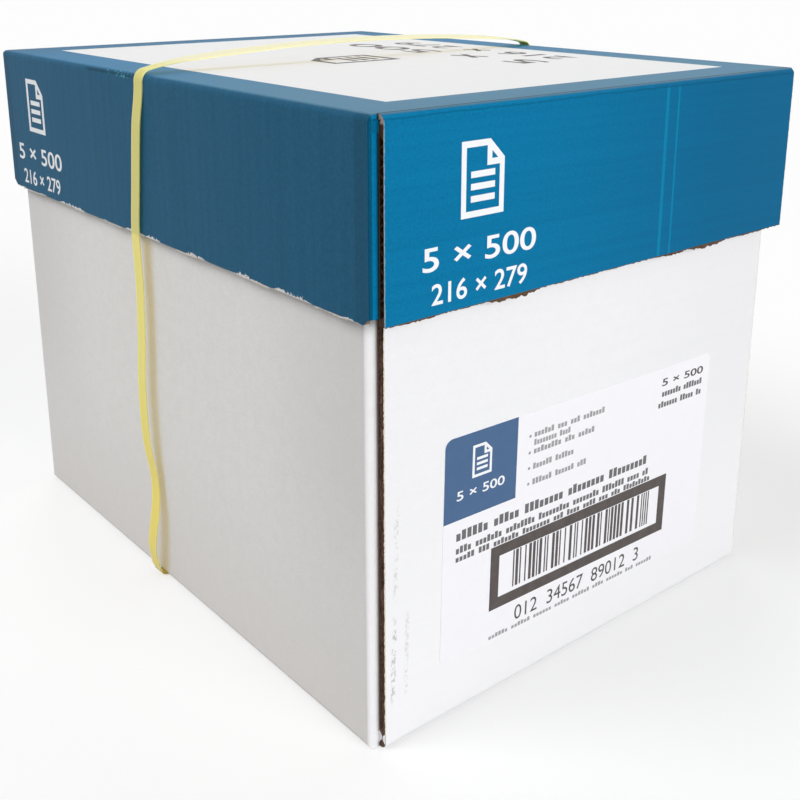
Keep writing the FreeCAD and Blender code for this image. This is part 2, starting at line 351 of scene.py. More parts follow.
def rim_bites(tree, position, z):
    # Ragged bites above the rim, in patches, where the die tore the ink off.
    patches = rise(tree, noise(tree, position, 42.0, 1.0), 0.44, 0.60)
    teeth = scaled(tree, noise(tree, position, 650.0, 3.0, 0.7), 4.6 * MM, -1.5 * MM)
    return below(tree, minus(tree, z, lid_low.z), times(tree, patches, teeth))


def dent_line(tree, at):
    # Painted shade of a dent: a dark crease that wanders along the fold of the left side.
    run = minus(tree, at["below_top"], at["from_side"])
    wander = scaled(tree, noise(tree, at["position"], 120.0, 3.0), 1.6 * MM, -0.8 * MM)
    line = window(tree, plus(tree, run, wander), 0.4 * MM, 1.4 * MM, 0.9 * MM)
    along = window(tree, at["y"], *DENT, 6 * MM)
    return times(tree, line, along, below(tree, at["from_side"], 5 * MM), below(tree, at["x"], 0.0))


def dent_flakes(tree, at):
    # Pale flakes of ink along the dent, partly painted highlights on its edges.
    flakes_and_highlights = rise(tree, noise(tree, at["position"], 520.0, 3.0, 0.7), 0.56, 0.66)
    along = window(tree, at["y"], *FLAKES, 5 * MM)
    down = window(tree, at["below_top"], 0.2 * MM, 2.6 * MM, 0.4 * MM)
    flakes_and_highlights = times(tree, flakes_and_highlights, along, down)
    return times(tree, flakes_and_highlights, below(tree, at["from_side"], 2.6 * MM), below(tree, at["x"], 0.0))


# %% Material of the lid


def flood_ink(tree, at, streaks):
    # Ends, sides and the top took the ink unevenly, and the ends of each fade towards one side.
    # The top's border is painted paler and greyer towards the near end, a painted sheen, and darker towards
    # the far end.
    shade = {name: ink_colour(tree, streaks, name) for name in INKS}
    end = blend_colour(tree, rise(tree, at["x"], -75 * MM, 95 * MM), shade["end"], shade["end_far"])
    by_tab = rise(tree, at["from_end"], TAB_REACH + 1 * MM, TAB_REACH)
    side = stained(tree, shade["side"], by_tab, 0.2, MARKS["glued_tab"])
    ink = blend_colour(tree, at["on_wall_end"], side, end)
    top_ink_and_sheen = blend_colour(tree, rise(tree, at["y"], 70 * MM, -140 * MM), shade["top"], shade["top_near_sheen"])
    ink = blend_colour(tree, at["on_top"], ink, top_ink_and_sheen)
    far_border = times(tree, at["on_top"], rise(tree, at["y"], 80 * MM, 155 * MM))
    return stained(tree, ink, far_border, 0.35, MARKS["far_border"])


def worn_end(tree, at, ink):
    # Two pale lines that rubbing has left down the labelled end, and a dark line of painted shade in the
    # crease under its folded edge.
    lines = either(tree, *[window(tree, at["x"], *line) for line in RUBBED_LINES])
    on_labelled_end = below(tree, at["y"], lid_low.y + 1.0 * MM)
    lines = times(tree, lines, on_labelled_end, above(tree, at["below_top"], 2 * MM))
    ink = stained(tree, ink, lines, 0.34, MARKS["rubbed"])
    wobble = scaled(tree, noise(tree, at["position"], 70.0, 4.0, 0.7), 2.0 * MM, -1.0 * MM)
    # Painted shade along the crease under the fold.
    crease = window(tree, plus(tree, at["below_top"], wobble), 1.7 * MM, 1.9 * MM, 0.4 * MM)
    return stained(tree, ink, times(tree, crease, at["on_wall_end"]), 0.35, MARKS["crease"])


# Folds: cracked ink, with painted shade in the dark fold lines and the dent, and painted highlights among
# the pale chips and flakes.
def folds_cracked_and_shaded(tree, at, ink):
    # Painted shade: a dark line along the tab's fold at each corner.
    tab_fold_shade = window(tree, at["from_end"], 2.7 * MM, 3.7 * MM, 0.3 * MM)
    tab_fold_shade = times(tree, below(tree, at["from_side"], 0.9 * MM), tab_fold_shade)
    ink = stained(tree, ink, tab_fold_shade, 0.6, MARKS["tab_fold_shade"])
    from_wall = calc(tree, "MINIMUM", at["from_side"], at["from_end"])
    near_fold = times(tree, below(tree, at["below_top"], 4 * MM), below(tree, from_wall, 4 * MM))
    # Pale chips near the folds: cracked ink, and partly a painted highlight on the crushed folds.
    chips_and_highlights = rise(tree, noise(tree, at["position"], 420.0, 5.0, 0.75), 0.63, 0.72)
    ink = stained(tree, ink, times(tree, near_fold, chips_and_highlights), 0.45, MARKS["chips_and_highlights"])
    ink = stained(tree, ink, dent_line(tree, at), 0.65, MARKS["dent"])
    return stained(tree, ink, dent_flakes(tree, at), 0.75, MARKS["flakes_and_highlights"])


def lid_places(tree, position):
    x, y, z = split(tree, position)
    at = {"position": position, "x": x, "y": y, "z": z, "below_top": minus(tree, lid_high.z, z)}
    at["from_side"] = minus(tree, lid_high.x, absolute(tree, x))
    at["from_end"] = minus(tree, lid_high.y, absolute(tree, y))
    at["on_top"] = rise(tree, at["below_top"], 0.5 * MM, 0.2 * MM)
    at["off_top"] = minus(tree, 1.0, at["on_top"])
    at["on_wall_end"] = times(tree, rise(tree, at["from_end"], 4.4 * MM, 3.2 * MM), at["off_top"])
    return at


def lid_print(tree, at, paper, streaks):
    ink = folds_cracked_and_shaded(tree, at, worn_end(tree, at, flood_ink(tree, at, streaks)))
    in_x = window(tree, at["x"], -FIELD_X, FIELD_X, 0.2 * MM)
    in_y = window(tree, at["y"], -FIELD_Y, FIELD_Y, 0.2 * MM)
    in_field = times(tree, in_x, in_y, below(tree, at["below_top"], 0.3 * MM))
    white = blend_colour(tree, paper["Mottle"], (0.755, 0.755, 0.755), (0.80, 0.80, 0.80))
    white = stained(tree, white, paper["Specks"], 0.55, MARKS["specks"])
    return blend_colour(tree, in_field, ink, white)


def lid_raw(tree, at, paper, cut):
    kraft = blend_colour(tree, paper["Mottle"], (0.13, 0.078, 0.052), (0.30, 0.20, 0.14))
    core = blend_colour(tree, paper["Mottle"], (0.022, 0.012, 0.008), (0.09, 0.052, 0.034))
    raw = blend_colour(tree, cut["Core"], kraft, core)
    return stained(tree, raw, rise(tree, at["below_top"], 3.6 * MM, 2.6 * MM), 0.8, MARKS["torn_top"])


def printed_board():
    material, tree, surface = new_material("printed_board", 0.55, 0.08)
    position = object_position(tree)
    at = lid_places(tree, position)
    cut = placed(tree, CUT_EDGE, {
        "Position": position, "Rise": at["below_top"], "Half Width": lid_high.x, "Half Length": lid_high.y,
        "Gap": 1.1 * MM, "Board": LID_BOARD, "Setback": LID_SETBACK, "Radius": LID_RADIUS,
        "Depth": lid_high.z - lid_low.z,
    })
    way_sockets = {0: at["on_wall_end"], 2: at["y"], 3: at["z"]}
    flute_way = node(tree, "ShaderNodeMix", way_sockets, data_type="FLOAT").outputs[0]
    ribs = placed(tree, FLUTE_RIBS, {"Position": position, "Along": flute_way, "Pitch": LID_FLUTES})
    paper = placed(tree, PAPER_FIBRE, {"Position": position})
    printed = lid_print(tree, at, paper, grainy(tree, ribs["Streaks"], paper["Fibre"], 2.4))
    printed = stained(tree, printed, cut["Lip"], 0.75, MARKS["lip"])
    # Painted shade in the gap behind the end panels.
    printed = stained(tree, printed, cut["Shade"], 0.97, MARKS["gap"])
    bites = times(tree, rim_bites(tree, position, at["z"]), minus(tree, 1.0, at["on_wall_end"]))
    printed = blend_colour(tree, bites, printed, MARKS["bites"])
    colour = blend_colour(tree, cut["Raw"], printed, lid_raw(tree, at, paper, cut))
    tree.links.new(colour, surface.inputs["Base Color"])
    tree.links.new(scaled(tree, paper["Fibre"], 0.2, 0.42), surface.inputs["Roughness"])
    surface.inputs["Coat Roughness"].default_value = 0.35
    tree.links.new(times(tree, at["on_top"], 0.08), surface.inputs["Coat Weight"])
    rib_height = scaled(tree, at["on_wall_end"], 0.00003, 0.00005)
    height = plus(tree, times(tree, ribs["Ribs"], rib_height), times(tree, paper["Fibre"], 0.00004))
    give_bump(tree, surface, height, 0.7)
    return material


def finish_node(name, material):
    nodes[name].data.materials.clear()
    nodes[name].data.materials.append(material)
    print(name, "is", material.name)


finish_node("lid", printed_board())

# %% [markdown]
# ## Tray: white liner
# The tray is bare white-top board: nearly flat white with faint ribs, a trace of warmth on its long
# sides, and grey rub marks where the carton was pushed along a shelf. The marks are strings of small dots
# beside the near corner.

# %% Material of the tray
TRAY_BOARD, TRAY_SETBACK, TRAY_RADIUS = 3.6 * MM, 4.8 * MM, 3.0 * MM
TRAY_FLUTES = 7.8 * MM
RUB_STRONG, RUB_WEAK = (-106.2 * MM, -105.0 * MM), (-100.0 * MM, -99.0 * MM)  # along X, at the floor
RUB_LOW, RUB_HIGH = (24 * MM, 50 * MM), (64 * MM, 94 * MM)  # heights
RUB_LEAN = -0.028


def rub_marks(tree, position, x, y, z):
    wander = scaled(tree, noise(tree, position, 160.0, 3.0), 1.6 * MM, -0.8 * MM)
    lean = scaled(tree, z, RUB_LEAN, plus(tree, x, wander))
    strong = window(tree, lean, *RUB_STRONG, 0.7 * MM)
    weak = times(tree, window(tree, lean, *RUB_WEAK, 0.7 * MM), 0.5)
    low = times(tree, window(tree, z, *RUB_LOW, 7 * MM), either(tree, strong, weak))
    high = times(tree, window(tree, z, *RUB_HIGH, 6 * MM), strong, 0.55)
    dots = rise(tree, noise(tree, position, 850.0, 2.0, 0.6), 0.46, 0.60)
    return times(tree, either(tree, low, high), dots, below(tree, y, tray_low.y + 1 * MM))


def side_liner(tree, mottle, z, from_end):
    # The long sides are warmer than the ends and darken towards the corners.
    side = blend_colour(tree, mottle, (0.79, 0.775, 0.755), (0.90, 0.89, 0.87))
    higher = scaled(tree, rise(tree, z, 30 * MM, 110 * MM), 0.30, 0.15)
    to_corner = times(tree, rise(tree, from_end, 85 * MM, 3 * MM), higher)
    return blend_colour(tree, to_corner, side, (0.60, 0.595, 0.59))


def end_liner(tree, mottle, x, z):
    # Painted light: the ends are painted lighter towards the floor, where the floor in front of them lies
    # in shade and throws back less light. They also darken towards +X.
    end = blend_colour(tree, mottle, (0.84, 0.84, 0.853), (0.89, 0.89, 0.907))
    end = stained(tree, end, rise(tree, x, -20 * MM, 110 * MM), 0.6, (0.79, 0.79, 0.803))
    return stained(tree, end, rise(tree, z, 130 * MM, 0.0), 0.8, (0.905, 0.905, 0.925))


def tray_raw(tree, paper, cut):
    kraft = blend_colour(tree, paper["Mottle"], (0.11, 0.066, 0.046), (0.24, 0.155, 0.115))
    core = blend_colour(tree, paper["Mottle"], (0.045, 0.024, 0.016), (0.14, 0.080, 0.052))
    return blend_colour(tree, cut["Core"], kraft, core)


def white_board():
    material, tree, surface = new_material("white_board", 0.65, 0.2)
    position = object_position(tree)
    x, y, z = split(tree, position)
    from_end = minus(tree, tray_high.y, absolute(tree, y))
    cut = placed(tree, CUT_EDGE, {
        "Position": position, "Rise": z, "Half Width": tray_high.x, "Half Length": tray_high.y,
        "Gap": 1.0 * MM, "Board": TRAY_BOARD, "Setback": TRAY_SETBACK, "Radius": TRAY_RADIUS,
        "Depth": tray_high.z,
    })
    on_end = rise(tree, from_end, 5.5 * MM, 4.5 * MM)
    flute_way = node(tree, "ShaderNodeMix", {0: on_end, 2: y, 3: z}, data_type="FLOAT").outputs[0]
    ribs = placed(tree, FLUTE_RIBS, {"Position": position, "Along": flute_way, "Pitch": TRAY_FLUTES})
    paper = placed(tree, PAPER_FIBRE, {"Position": position})
    mottle = grainy(tree, paper["Mottle"], paper["Fibre"], 1.5)
    liner = blend_colour(tree, on_end, side_liner(tree, mottle, z, from_end), end_liner(tree, mottle, x, z))
    liner = stained(tree, liner, ribs["Streaks"], 0.10, (0.60, 0.585, 0.57))
    # The side walls darken towards the floor.
    darker_low_down = times(tree, rise(tree, z, 90 * MM, 0.0), minus(tree, 1.0, on_end))
    liner = stained(tree, liner, darker_low_down, 0.5, (0.74, 0.70, 0.68))
    liner = stained(tree, liner, paper["Specks"], 0.25, (0.55, 0.53, 0.52))
    liner = stained(tree, liner, rub_marks(tree, position, x, y, z), 0.55, (0.33, 0.28, 0.30))
    liner = stained(tree, liner, cut["Lip"], 0.8, (0.66, 0.55, 0.40))
    # Painted shade where the tab dips behind the end panels.
    liner = stained(tree, liner, cut["Shade"], 0.85, (0.13, 0.085, 0.075))
    colour = blend_colour(tree, cut["Raw"], liner, tray_raw(tree, paper, cut))
    tree.links.new(colour, surface.inputs["Base Color"])
    tree.links.new(scaled(tree, paper["Fibre"], 0.15, 0.58), surface.inputs["Roughness"])
    height = plus(tree, times(tree, ribs["Ribs"], 0.00005), times(tree, paper["Fibre"], 0.00005))
    give_bump(tree, surface, height, 0.5)
    return material


finish_node("tray", white_board())

# %% [markdown]
# ## Label paper, wrapper paper and inks
# The label is coated paper, a little bluer and brighter than the board. The packs inside have a smooth
# wrapper.

# %% Paper and ink materials


def paper_material(name, dark, light, roughness, specular, grain):
    material, tree, surface = new_material(name, roughness, specular)
    paper = placed(tree, PAPER_FIBRE, {"Position": object_position(tree)})
    tree.links.new(blend_colour(tree, paper["Mottle"], dark, light), surface.inputs["Base Color"])
    give_bump(tree, surface, times(tree, paper["Fibre"], grain), 0.4)
    return material


label_paper = paper_material("label_paper", (0.865, 0.86, 0.895), (0.905, 0.90, 0.935), 0.45, 0.25, 0.00001)
wrapper_paper = paper_material("wrapper_paper", (0.78, 0.80, 0.82), (0.86, 0.87, 0.88), 0.35, 0.4, 0.00001)
dark_ink = paper_material("dark_ink", (0.055, 0.046, 0.044), (0.135, 0.118, 0.112), 0.5, 0.15, 0.00001)
blue_ink = paper_material("blue_ink", (0.062, 0.125, 0.245), (0.082, 0.150, 0.285), 0.5, 0.15, 0.00001)
title_ink = paper_material("title_ink", (0.11, 0.105, 0.11), (0.19, 0.185, 0.19), 0.5, 0.15, 0.00001)
small_ink = paper_material("small_ink", (0.28, 0.275, 0.285), (0.40, 0.395, 0.405), 0.5, 0.15, 0.00001)
white_ink = paper_material("white_ink", (0.82, 0.84, 0.86), (0.93, 0.94, 0.96), 0.5, 0.15, 0.00001)
torn_paper = paper_material("torn_paper", (0.60, 0.52, 0.42), (0.88, 0.85, 0.80), 0.9, 0.05, 0.00004)
torn_print = paper_material("torn_print", (0.10, 0.20, 0.25), (0.46, 0.48, 0.44), 0.9, 0.05, 0.00004)
torn_kraft = paper_material("torn_kraft", (0.030, 0.016, 0.011), (0.20, 0.122, 0.078), 0.9, 0.05, 0.00006)
blue_liner = paper_material("blue_liner", (0.0, 0.10, 0.21), (0.0, 0.15, 0.31), 0.6, 0.1, 0.00004)
white_liner = paper_material("white_liner", (0.83, 0.83, 0.843), (0.88, 0.88, 0.897), 0.65, 0.2, 0.00004)


def crushed_paper():
    material, tree, surface = new_material("crushed_core", 0.85, 0.1)
    streaks = noise(tree, stretched(tree, object_position(tree), (1500.0, 1500.0, 90.0)), 1.0, 4.0, 0.65)
    brown = blend_colour(tree, rise(tree, streaks, 0.32, 0.68), (0.028, 0.015, 0.010), (0.21, 0.125, 0.085))
    tree.links.new(brown, surface.inputs["Base Color"])
    return material


crushed_core = crushed_paper()
finish_node("label", label_paper)
for number in range(1, 6):
    finish_node(f"ream_{number}", wrapper_paper)

# %% [markdown]
# ## Flat work
# Print and torn liner start as flat sheets on the XY plane, drawn in millimetres, and get a thickness
# before they are laid on a face of the carton. A grid whose faces are chosen by place and deleted is the
# quickest stencil.

# %% Flat sheets


def deselect():
    if bpy.context.object and bpy.context.object.mode != "OBJECT":
        bpy.ops.object.mode_set(mode="OBJECT")
    bpy.ops.object.select_all(action="DESELECT")


def choose(sheet, kind, wanted):
    # Goes into edit mode with only the wanted vertices or faces selected, by their place in millimetres.
    mesh = sheet.data
    for group in (mesh.vertices, mesh.edges, mesh.polygons):
        group.foreach_set("select", [False] * len(group))
    items = mesh.vertices if kind == "VERT" else mesh.polygons
    for item in items:
        item.select = bool(wanted((item.co if kind == "VERT" else item.center) / MM))
    bpy.context.tool_settings.mesh_select_mode = (kind == "VERT", False, kind == "FACE")
    bpy.ops.object.mode_set(mode="EDIT")


def new_grid(x0, x1, y0, y1, columns=1, rows=1):
    deselect()
    bpy.ops.mesh.primitive_grid_add(x_subdivisions=columns, y_subdivisions=rows, size=1.0)
    sheet = bpy.context.object
    sheet.scale = ((x1 - x0) * MM, (y1 - y0) * MM, 1.0)
    sheet.location = ((x0 + x1) / 2 * MM, (y0 + y1) / 2 * MM, 0.0)
    bpy.ops.object.transform_apply(location=True, rotation=True, scale=True)
    return sheet


def delete_faces(sheet, unwanted):
    choose(sheet, "FACE", unwanted)
    bpy.ops.mesh.delete(type="FACE")
    bpy.ops.object.mode_set(mode="OBJECT")
    return sheet


def rounded_plate(x0, x1, y0, y1, corner):
    sheet = new_grid(x0, x1, y0, y1)
    choose(sheet, "VERT", lambda place: True)
    bpy.ops.mesh.bevel(offset=corner * MM, segments=5, affect="VERTICES")
    bpy.ops.object.mode_set(mode="OBJECT")
    return sheet


def hollow(sheet, stroke):
    # Keeps only a border of the sheet, as wide as the stroke.
    choose(sheet, "FACE", lambda place: True)
    bpy.ops.mesh.inset(thickness=stroke * MM)
    bpy.ops.mesh.delete(type="FACE")
    bpy.ops.object.mode_set(mode="OBJECT")
    return sheet


def lay_on(name, sheets, thickness, origin, right, up, material):
    # Joins flat sheets, gives them a thickness and lays them on a face of the carton.
    deselect()
    for sheet in sheets:
        sheet.select_set(True)
    bpy.context.view_layer.objects.active = sheets[0]
    if len(sheets) > 1:
        bpy.ops.object.join()
    piece = bpy.context.object
    piece.name = piece.data.name = name
    solid = piece.modifiers.new("thickness", "SOLIDIFY")
    solid.thickness, solid.offset = thickness * MM, 1.0
    bpy.ops.object.modifier_apply(modifier=solid.name)
    bpy.ops.object.shade_flat()
    right, up = Vector(right).normalized(), Vector(up).normalized()
    turn = Matrix((right, up, right.cross(up))).transposed().to_4x4()
    piece.data.transform(Matrix.Translation(Vector(origin)) @ turn)
    piece.data.materials.clear()
    piece.data.materials.append(material)
    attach(piece, "root")
    print(name, "with", len(piece.data.polygons), "faces")
    return piece


# %% [markdown]
# ## Signs and lines of type
# The sign is a plain sheet with a folded corner. A line of small type is a grid with gaps deleted, so it
# reads as type without being any, and the only characters are figures for the count and the sheet's size.

# %% Sign, figures and small type


def page_sign(x, y, size):
    width, stroke = size * 0.76, size * 0.085
    left, right, low, high = x - width / 2, x + width / 2, y - size / 2, y + size / 2
    fold = size * 0.26
    page = new_grid(left, right, low, high)
    choose(page, "VERT", lambda place: place.x > x and place.y > y)
    bpy.ops.mesh.bevel(offset=fold * MM, segments=1, affect="VERTICES")
    bpy.ops.object.mode_set(mode="OBJECT")
    parts = [hollow(page, stroke)]
    # The fold's two strokes end on the border's inner edge, which is a slant there.
    inner_slant = right + high - fold - stroke * math.sqrt(2)
    fold_left = right - fold - stroke * 0.6
    upright = new_grid(fold_left, fold_left + stroke, high - fold, high - stroke, 5)
    level = new_grid(fold_left, right - stroke, high - fold - stroke, high - fold, 1, 5)
    for vertex in upright.data.vertices:
        vertex.co.y = min(vertex.co.y, inner_slant * MM - vertex.co.x)
    for vertex in level.data.vertices:
        vertex.co.x = min(vertex.co.x, inner_slant * MM - vertex.co.y)
    parts += [upright, level]
    for height in (0.06, -0.10, -0.26):
        middle = y + size * height
        parts.append(new_grid(x - width * 0.28, x + width * 0.28, middle - stroke / 2, middle + stroke / 2))
    return parts


def figures(text, x0, x1, y0, y1, weight=0.0):
    # Text is an object of its own kind; as a mesh it is stretched to the room it has.
    deselect()
    bpy.ops.object.text_add()
    written = bpy.context.object
    written.data.body = text
    written.data.offset = weight
    bpy.ops.object.convert(target="MESH")
    sheet = bpy.context.object
    low = [min(vertex.co[i] for vertex in sheet.data.vertices) for i in (0, 1)]
    high = [max(vertex.co[i] for vertex in sheet.data.vertices) for i in (0, 1)]
    sheet.scale = ((x1 - x0) * MM / (high[0] - low[0]), (y1 - y0) * MM / (high[1] - low[1]), 1.0)
    sheet.location = (x0 * MM - low[0] * sheet.scale.x, y0 * MM - low[1] * sheet.scale.y, 0.0)
    bpy.ops.object.transform_apply(location=True, rotation=True, scale=True)
    return sheet


def type_line(x0, x1, y0, y1, letters, seed):
    # Type seen from afar: blocks of two heights with a gap after each, and words that end in a wider gap.
    draw = random.Random(seed)
    gaps, until = set(), draw.randint(4, 8)
    for letter in range(letters):
        if letter == until:
            gaps.add(letter)
            until = letter + draw.randint(4, 10)
    tall = {letter for letter in range(letters) if draw.random() < 0.35}
    sheet = new_grid(x0, x1, y0, y1, letters * 4, 4)
    column_width, row_height = (x1 - x0) / (letters * 4), (y1 - y0) / 4

    def blank(centre):
        column, row = int((centre.x - x0) / column_width), int((centre.y - y0) / row_height)
        letter = column // 4
        return letter in gaps or column % 4 == 3 or (row == 3 and letter not in tall)

    return delete_faces(sheet, blank)


# %% [markdown]
# ## Print on the lid
# Each wall carries the same block: the sheet sign over the pack's count and the sheet's size, in white.
# The top has it in dark ink, turned to be read from a long side.

# %% Lay the lid's print
INK = 0.03


def wall_block():
    marks = page_sign(0, 13.5, 26)
    marks.append(figures("5 × 500", -26.5, 26.5, -15.3, -7.0, 0.012))
    marks.append(figures("216 × 279", -22.5, 22.5, -27.3, -19.8, 0.012))
    return marks


def print_wall(name, origin, right):
    return lay_on(name, wall_block(), INK, origin, right, (0, 0, 1), white_ink)


LID_MARK_Z = 198.5 * MM
print_wall("lid_mark_near_end", (-70.5 * MM, lid_low.y, LID_MARK_Z), (1, 0, 0))
print_wall("lid_mark_far_end", (70.5 * MM, lid_high.y, LID_MARK_Z), (-1, 0, 0))
print_wall("lid_mark_left", (lid_low.x, 114.5 * MM, LID_MARK_Z), (0, -1, 0))
print_wall("lid_mark_right", (lid_high.x, -114.5 * MM, LID_MARK_Z), (0, 1, 0))


def top_block():
    marks = page_sign(0, 29.5, 38)
    marks.append(figures("5 × 500", -69.0, 69.0, -33.0, -17.5, 0.012))
    marks.append(figures("216 × 279", -62.0, 62.0, -59.0, -44.5, 0.012))
    return marks


top_origin = (20 * MM, 0, lid_high.z)
lay_on("lid_mark_top", top_block(), INK, top_origin, (0, 1, 0), (-1, 0, 0), dark_ink)

# %% [markdown]
# ## Print on the label
# A blue block in the corner, a list, three title lines, a bar pattern in a heavy frame, and plain
# figures. The bars are drawn from a fixed seed and mean nothing. The label was stuck on a degree out of
# true, and its print goes with it.

# %% Lay the label's print
LABEL_TILT = math.radians(1.0)
label_centre = Vector((-2.7 * MM, label_low.y, 68.8 * MM))
label_right = (math.cos(LABEL_TILT), 0, -math.sin(LABEL_TILT))
label_up = (math.sin(LABEL_TILT), 0, math.cos(LABEL_TILT))


def bar_pattern(x0, x1, y0, y1, modules=113):
    draw = random.Random(7)
    dark, column = set(), 0
    while column < modules - 2:
        width = draw.choice([1, 1, 1, 2, 2, 3])
        dark.update(range(column, column + width))
        column += width + draw.choice([1, 1, 2, 2, 3])
    dark.update((modules - 3, modules - 1))
    cell = (x1 - x0) / modules
    bars = new_grid(x0, x1, y0, y1, modules)
    return delete_faces(bars, lambda centre: int((centre.x - x0) / cell) not in dark)


# Height, right end and number of letters of each line in the list.
LIST_LINES = ((36.9, 8.7, 22), (33.4, -10.0, 14), (29.9, 3.0, 18), (23.4, -9.0, 13), (16.8, -1.0, 17))


def list_marks():
    marks = []
    for y, x1, letters in LIST_LINES:
        marks.append(type_line(-32.5, x1, y - 1.1, y + 1.4, letters, int(y)))
    for y in (36.9, 29.9, 23.4, 16.8):
        marks.append(rounded_plate(-35.4, -34.2, y - 0.8, y + 0.4, 0.5))
    return marks


def dark_marks():
    return [
        hollow(new_grid(-53.7, 53.6, -32.2, -4.8), 4.7),
        bar_pattern(-41.3, 42.3, -25.8, -9.8),
        figures("012  34567  89012  3", -39.3, 37.7, -41.6, -35.2),
        figures("5 × 500", 45.5, 74.2, 38.0, 41.4, 0.015),
    ]


def title_marks():
    return [
        type_line(46.0, 74.2, 33.1, 35.9, 15, 11),
        type_line(44.0, 74.2, 28.2, 31.0, 16, 12),
        type_line(-72.1, 39.1, 4.3, 8.3, 40, 13),
        type_line(-72.1, 40.6, -1.0, 1.9, 56, 14),
        type_line(-72.1, 42.0, -4.4, -1.9, 58, 15),
    ]


def block_plate(x0, x1, y0, y1, corner):
    # Flush with the label's left and top edges, so only the corner there is rounded.
    plate = new_grid(x0, x1, y0, y1)
    choose(plate, "VERT", lambda place: place.x < (x0 + x1) / 2 and place.y > (y0 + y1) / 2)
    bpy.ops.mesh.bevel(offset=corner * MM, segments=6, affect="VERTICES")
    bpy.ops.object.mode_set(mode="OBJECT")
    return plate


def label_print(name, sheets, lift, material):
    origin = label_centre + Vector((0, -lift * MM, 0))
    return lay_on(name, sheets, INK, origin, label_right, label_up, material)


label_print("label_print_dark", dark_marks(), 0, dark_ink)
label_print("label_print_title", title_marks(), 0, title_ink)
small_marks = list_marks()
small_marks.append(type_line(-53.3, 47.7, -45.0, -43.2, 56, 16))
label_print("label_print_small", small_marks, 0, small_ink)
label_print("label_block", [block_plate(-78.7, -41.7, 12.9, 46.45, 3.5)], 0, blue_ink)
block_marks = page_sign(-60.1, 34.5, 13) + [figures("5 × 500", -72.5, -48.0, 20.8, 24.6, 0.012)]
label_print("label_block_marks", block_marks, INK, white_ink)

# %% [markdown]
# ## Torn edges
# A die tears board as much as it cuts it: liner frays along the cut sides of the end panels, white fibres
# hang from the lid's rim, and bits of brown core hang below it. Each is a strip whose free edge is pulled
# out by random lengths.

# %% Frayed strips


def frayed_strip(length, step, reach, seed):
    # A flat strip from x = 0 to its length, whose upper edge is ragged; reach gives the least and most
    # pull there.
    draw = random.Random(seed)
    count = max(3, round(length / step))
    strip = new_grid(0, length, 0, 0.1, count)
    pulls = [draw.uniform(*reach) for _ in range(count + 1)]
    shifts = [draw.uniform(-0.3, 0.3) * step for _ in range(count + 1)]
    for vertex in strip.data.vertices:
        if vertex.co.y > 0.05 * MM:
            index = int(round(vertex.co.x / MM / length * count))
            vertex.co.y = pulls[index] * MM
            vertex.co.x += shifts[index] * MM
    return strip


def torn_bit(x0, x1, drop, seed, step=0.9, least=0.45):
    # A hanging scrap, longest at its middle, with a ragged lower edge.
    draw = random.Random(seed)
    count = max(4, round((x1 - x0) / step))
    scrap = new_grid(x0, x1, 0, 0.1, count)
    for vertex in scrap.data.vertices:
        if vertex.co.y > 0.05 * MM:
            along = (vertex.co.x / MM - x0) / (x1 - x0)
            body = math.sin(math.pi * min(max(along, 0.02), 0.98)) ** 0.6
            vertex.co.y = drop * body * draw.uniform(least, 1.0) * MM
    return scrap


def fray_cut_sides(name, high, z0, z1, setback, reach, material):
    # The four upright cut sides of the end panels, each frayed towards its corner.
    for number, (side, end) in enumerate(CORNERS):
        strip = frayed_strip((z1 - z0) / MM, 0.75, (0.0, reach), 30 + number)
        right = (0, 0, side * end)
        start = z0 if side * end > 0 else z1
        origin = (side * (high.x - setback), end * (high.y - 0.22 * MM), start)
        lay_on(f"{name}_{number + 1}", [strip], 0.22, origin, right, (side, 0, 0), material)


fray_cut_sides("tray_fray", tray_high, 7 * MM, tray_high.z - 4 * MM, TRAY_SETBACK, 0.34,
               torn_paper)
fray_cut_sides("lid_fray", lid_high, lid_low.z + 2 * MM, lid_high.z - 5 * MM, LID_SETBACK, 0.16,
               torn_print)

# %% Crushed core in the tray's cut sides


def crushed_strip(length, width, depth, seed):
    # A strip whose inner rows of vertices stand at random depths, as pressed flutes do.
    draw = random.Random(seed)
    strip = new_grid(0, length, 0, width, round(length / 1.3), 4)
    for vertex in strip.data.vertices:
        vertex.co.z = draw.uniform(-depth, depth) * MM
        vertex.co.x += draw.uniform(-0.4, 0.4) * MM
    return strip


for number, (side, end) in enumerate(CORNERS):
    z0, z1 = 3.2, tray_high.z / MM - 1.0
    origin = Vector((side * (tray_high.x - TRAY_SETBACK - 0.45 * MM), end * (tray_high.y - 3.05 * MM), 0))
    origin.z = (z1 if side * end > 0 else z0) * MM
    strip = crushed_strip(z1 - z0, 2.5, 0.28, 80 + number)
    right, up = (0, 0, -side * end), (0, end, 0)
    lay_on(f"tray_core_{number + 1}", [strip], 0.12, origin, right, up, crushed_core)

# %% Fibres and brown scraps at the lid's rim
# Start and end of each scrap along an end's rim, and how far it hangs down.
END_SCRAPS = ((-111, -86, 1.2), (-84, -71, 0.9), (-68, -39, 2.4), (-36, -20, 0.8), (24, 48, 1.6),
              (46, 74, 2.3), (78, 104, 1.1))
SIDE_PATCHES = ((-139, -121), (-92, -70), (-40, -22), (27, 43), (66, 78), (118, 140))


def fray_rim(name, runs, origin, right, reach, material, seed):
    strips = []
    for number, (start, end) in enumerate(runs):
        strip = frayed_strip(end - start, 0.8, (0.0, reach), seed + number)
        strip.data.transform(Matrix.Translation((start * MM, 0, 0)))
        strips.append(strip)
    return lay_on(name, strips, 0.25, origin, right, (0, 0, -1), material)


def hang_scraps(name, scraps, origin, right, seed):
    bits = [torn_bit(x0, x1, drop, seed + number) for number, (x0, x1, drop) in enumerate(scraps)]
    return lay_on(name, bits, 1.5, origin, right, (0, 0, -1), torn_kraft)


